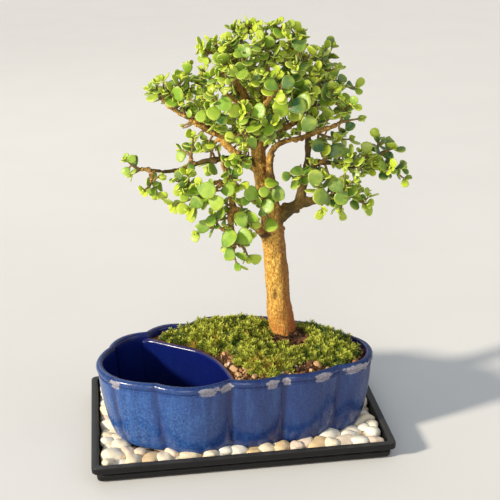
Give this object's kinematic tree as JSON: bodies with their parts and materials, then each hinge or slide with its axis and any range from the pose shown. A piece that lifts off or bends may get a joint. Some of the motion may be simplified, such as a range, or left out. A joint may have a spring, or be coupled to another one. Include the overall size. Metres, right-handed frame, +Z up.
{
  "type": "jade bonsai",
  "caption": "Dwarf jade bonsai with a bare tapering trunk and fleshy round leaves, in a scalloped glazed pot with a curved divider, standing on a pebble-filled humidity tray.",
  "frame": {"origin": "middle of the tray's underside, on the surface it stands on", "axes": "+Z up; +X along the tray's long side towards the planted end of the pot; -Y towards the front, where the water compartment and trunk are both seen"},
  "size_m": [0.3061, 0.19, 0.3963],
  "materials": {
    "tray": "satin",
    "pebble": "tumbled",
    "glaze": "glossy, mottled",
    "screen": "matte",
    "soil": "gritty",
    "moss": "soft, tufted",
    "bark": "rough",
    "leaf": "waxy"
  },
  "bodies": {
    "root": {"humidity_tray": "tray", "pebble_bed": "pebble", "white_pebble": "pebble", "land_water_pot": "glaze", "drain_screen_left": "screen", "drain_screen_right": "screen", "potting_soil": "soil", "moss_left": "moss", "moss_front": "moss", "moss_right": "moss", "trunk_and_branches": "bark", "leaves_back_left_high": "leaf", "leaves_back_left_low": "leaf", "leaves_back_middle": "leaf", "leaves_back_right_high": "leaf", "leaves_back_right_low": "leaf", "leaves_back_top": "leaf", "leaves_inner_left": "leaf", "leaves_inner_left_up": "leaf", "leaves_left_arm": "leaf", "leaves_left_curl": "leaf", "leaves_left_drop_side": "leaf", "leaves_left_drop_tip": "leaf", "leaves_left_hanging": "leaf", "leaves_left_low_inner": "leaf", "leaves_left_rosette": "leaf", "leaves_left_tip": "leaf", "leaves_left_tip_low": "leaf", "leaves_mid_front_a": "leaf", "leaves_mid_front_b": "leaf", "leaves_mid_front_c": "leaf", "leaves_mid_right_a": "leaf", "leaves_mid_right_b": "leaf", "leaves_right_inner": "leaf", "leaves_right_low_a": "leaf", "leaves_right_low_b": "leaf", "leaves_right_low_c": "leaf", "leaves_right_mid_a": "leaf", "leaves_right_mid_b": "leaf", "leaves_right_shoulder": "leaf", "leaves_right_shoulder_tip": "leaf", "leaves_right_tip": "leaf", "leaves_right_tip_up": "leaf", "leaves_top_a": "leaf", "leaves_top_b": "leaf", "leaves_top_front": "leaf", "leaves_top_left_a": "leaf", "leaves_top_left_b": "leaf", "leaves_top_left_c": "leaf", "leaves_top_right_a": "leaf", "leaves_top_right_b": "leaf", "leaves_trunk_front": "leaf", "leaves_upper_left_a": "leaf", "leaves_upper_left_b": "leaf", "leaves_upper_left_c": "leaf", "leaves_upper_left_low": "leaf", "leaves_upper_left_tip": "leaf", "leaves_upper_right_a": "leaf", "leaves_upper_right_b": "leaf", "leaves_upper_right_c": "leaf"}
  },
  "joints": []
}
